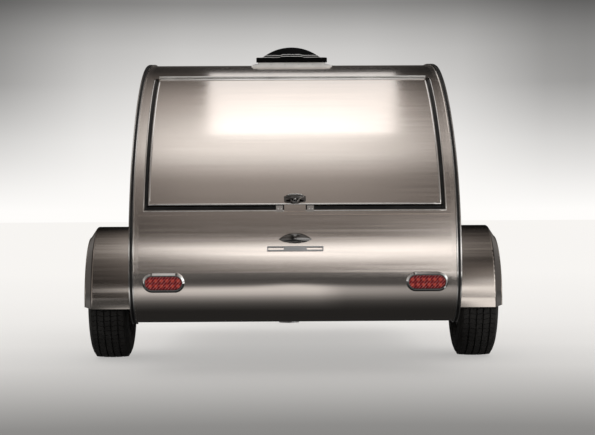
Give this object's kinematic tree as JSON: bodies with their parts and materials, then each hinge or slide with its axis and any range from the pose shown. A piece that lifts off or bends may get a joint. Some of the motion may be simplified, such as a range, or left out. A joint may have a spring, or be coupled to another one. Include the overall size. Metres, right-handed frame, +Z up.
{
  "type": "teardrop trailer",
  "caption": "Teardrop camping trailer in brushed metal with a galley hatch across its tail, round fenders, side doors, a roof vent and a jack on its tongue.",
  "frame": {"origin": "middle of the bounding box on the ground", "axes": "+Y forwards in the direction of travel, +X to the trailer's right, +Z up"},
  "size_m": [2.1324, 4.0844, 1.6632],
  "materials": {
    "brushed_skin": "brushed",
    "fender_skin": "brushed",
    "bright_trim": "polished",
    "black_rubber": "matt",
    "chrome": "polished",
    "red_lens": "moulded",
    "amber_lens": "moulded",
    "clear_lens": "clear",
    "steel_black": "satin",
    "steel_zinc": "zinc plated",
    "tyre": "matt",
    "alloy": "machined",
    "white_plastic": "matt",
    "smoked_plastic": "smoked",
    "birch_ply": "varnished",
    "mattress_fabric": "woven",
    "strut_black": "satin",
    "strut_rod": "polished"
  },
  "bodies": {
    "chassis": {"axle_beam": "steel_black", "bulkhead": "birch_ply", "coupler": "steel_zinc", "door_frames": "bright_trim", "edge_trims": "bright_trim", "fenders": "fender_skin", "floor_deck": "birch_ply", "frame_crossmembers": "steel_black", "frame_rails": "steel_black", "front_panel": "brushed_skin", "galley_cabinet": "birch_ply", "galley_counter": "birch_ply", "gasket_clips": "chrome", "hatch_frame": "bright_trim", "hatch_gasket": "black_rubber", "hinge_barrel": "bright_trim", "jack_tube": "steel_zinc", "marker_lamps_front": "amber_lens", "marker_lamps_rear": "red_lens", "mattress": "mattress_fabric", "plate_bracket": "steel_zinc", "plate_lamp": "chrome", "plate_lens": "clear_lens", "rear_panel": "brushed_skin", "roof_shell": "brushed_skin", "side_walls": "brushed_skin", "strut_wall_pins": "strut_black", "tail_bezels": "chrome", "tail_lenses": "red_lens", "tongue_frame": "steel_black", "torsion_arms": "steel_black", "trim_inserts": "black_rubber", "vent_base": "white_plastic"},
    "wheel_left": {"tyre_left": "tyre", "rim_left": "alloy", "hub_left": "steel_zinc"},
    "wheel_right": {"tyre_right": "tyre", "rim_right": "alloy", "hub_right": "steel_zinc"},
    "hatch": {"hatch_panel": "brushed_skin", "hinge_leaf": "bright_trim", "hatch_handle": "chrome", "latch_plate": "brushed_skin", "strut_hatch_pins": "strut_black"},
    "door_left": {"door_panel_left": "brushed_skin", "door_window_left": "bright_trim", "door_glass_left": "clear_lens", "door_handle_left": "chrome"},
    "door_right": {"door_panel_right": "brushed_skin", "door_window_right": "bright_trim", "door_glass_right": "clear_lens", "door_handle_right": "chrome"},
    "vent_cover": {"vent_lid": "smoked_plastic"},
    "jack_slide": {"jack_leg": "steel_zinc"},
    "strut_tube_left": {"strut_cylinder_left": "strut_black"},
    "strut_shaft_left": {"strut_rod_left": "strut_rod"},
    "strut_tube_right": {"strut_cylinder_right": "strut_black"},
    "strut_shaft_right": {"strut_rod_right": "strut_rod"}
  },
  "joints": [
    {"name": "wheel_left_spin", "type": "hinge", "parent": "chassis", "child": "wheel_left", "pos_m": [-0.952, -0.97379, 0.32], "axis": [1, 0, 0], "continuous": true},
    {"name": "wheel_right_spin", "type": "hinge", "parent": "chassis", "child": "wheel_right", "pos_m": [0.952, -0.97379, 0.32], "axis": [1, 0, 0], "continuous": true},
    {"name": "hatch_hinge", "type": "hinge", "parent": "chassis", "child": "hatch", "pos_m": [0, -1.24462, 1.45465], "axis": [-1, 0, 0], "range_deg": [0, 70]},
    {"name": "door_left_hinge", "type": "hinge", "parent": "chassis", "child": "door_left", "pos_m": [-0.773, 0.13221, 0.915], "axis": [0, 0, -1], "range_deg": [0, 110]},
    {"name": "door_right_hinge", "type": "hinge", "parent": "chassis", "child": "door_right", "pos_m": [0.773, 0.13221, 0.915], "axis": [0, 0, 1], "range_deg": [0, 110]},
    {"name": "vent_hinge", "type": "hinge", "parent": "chassis", "child": "vent_cover", "pos_m": [0, -0.54588, 1.60366], "axis": [-1, 0, 0], "range_deg": [0, 60]},
    {"name": "jack_lift", "type": "slide", "parent": "chassis", "child": "jack_slide", "axis": [0, 0, 1], "range_m": [0, 0.2]},
    {"name": "strut_left_swing", "type": "hinge", "parent": "chassis", "child": "strut_tube_left", "pos_m": [-0.666, -1.20262, 1.33865], "axis": [-1, 0, 0], "range_deg": [0, 56]},
    {"name": "strut_left_stroke", "type": "slide", "parent": "strut_tube_left", "child": "strut_shaft_left", "axis": [0, -0.9837, -0.18], "range_m": [0, 0.127]},
    {"name": "strut_right_swing", "type": "hinge", "parent": "chassis", "child": "strut_tube_right", "pos_m": [0.666, -1.20262, 1.33865], "axis": [-1, 0, 0], "range_deg": [0, 56]},
    {"name": "strut_right_stroke", "type": "slide", "parent": "strut_tube_right", "child": "strut_shaft_right", "axis": [0, -0.9837, -0.18], "range_m": [0, 0.127]}
  ],
  "couplings": [
    {"joint": "strut_left_swing", "follows": "hatch_hinge", "ratio": 0.7845},
    {"joint": "strut_left_stroke", "follows": "hatch_hinge", "m_per_rad": 0.10297},
    {"joint": "strut_right_swing", "follows": "hatch_hinge", "ratio": 0.7845},
    {"joint": "strut_right_stroke", "follows": "hatch_hinge", "m_per_rad": 0.10297}
  ]
}
